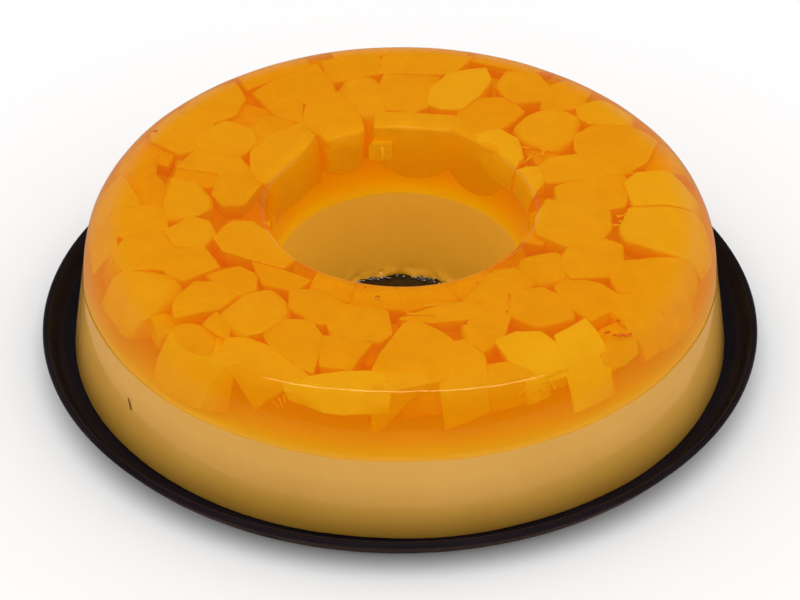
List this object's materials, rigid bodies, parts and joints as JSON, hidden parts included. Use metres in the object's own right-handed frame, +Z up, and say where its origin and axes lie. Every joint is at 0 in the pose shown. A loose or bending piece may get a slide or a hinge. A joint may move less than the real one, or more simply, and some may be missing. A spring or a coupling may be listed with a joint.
{
  "type": "moulded jelly",
  "caption": "Ring of fruit jelly on a thick custard layer, turned out of a ring mould onto a shallow black plate.",
  "frame": {"origin": "middle of the plate's foot ring, on the table", "axes": "+Z up, along the ring's own axis; the ring is round, so +X is any radius"},
  "size_m": [0.28, 0.28, 0.0675],
  "materials": {
    "plate": "satin blue-black glaze, wet beside the food",
    "custard": "opaque set custard with a moist, smooth skin",
    "jelly": "clear orange jelly with sunken pieces of yellow fruit, smooth and wet"
  },
  "bodies": {
    "root": {"plate": "plate", "custard_layer": "custard", "jelly_layer": "jelly"}
  },
  "joints": []
}
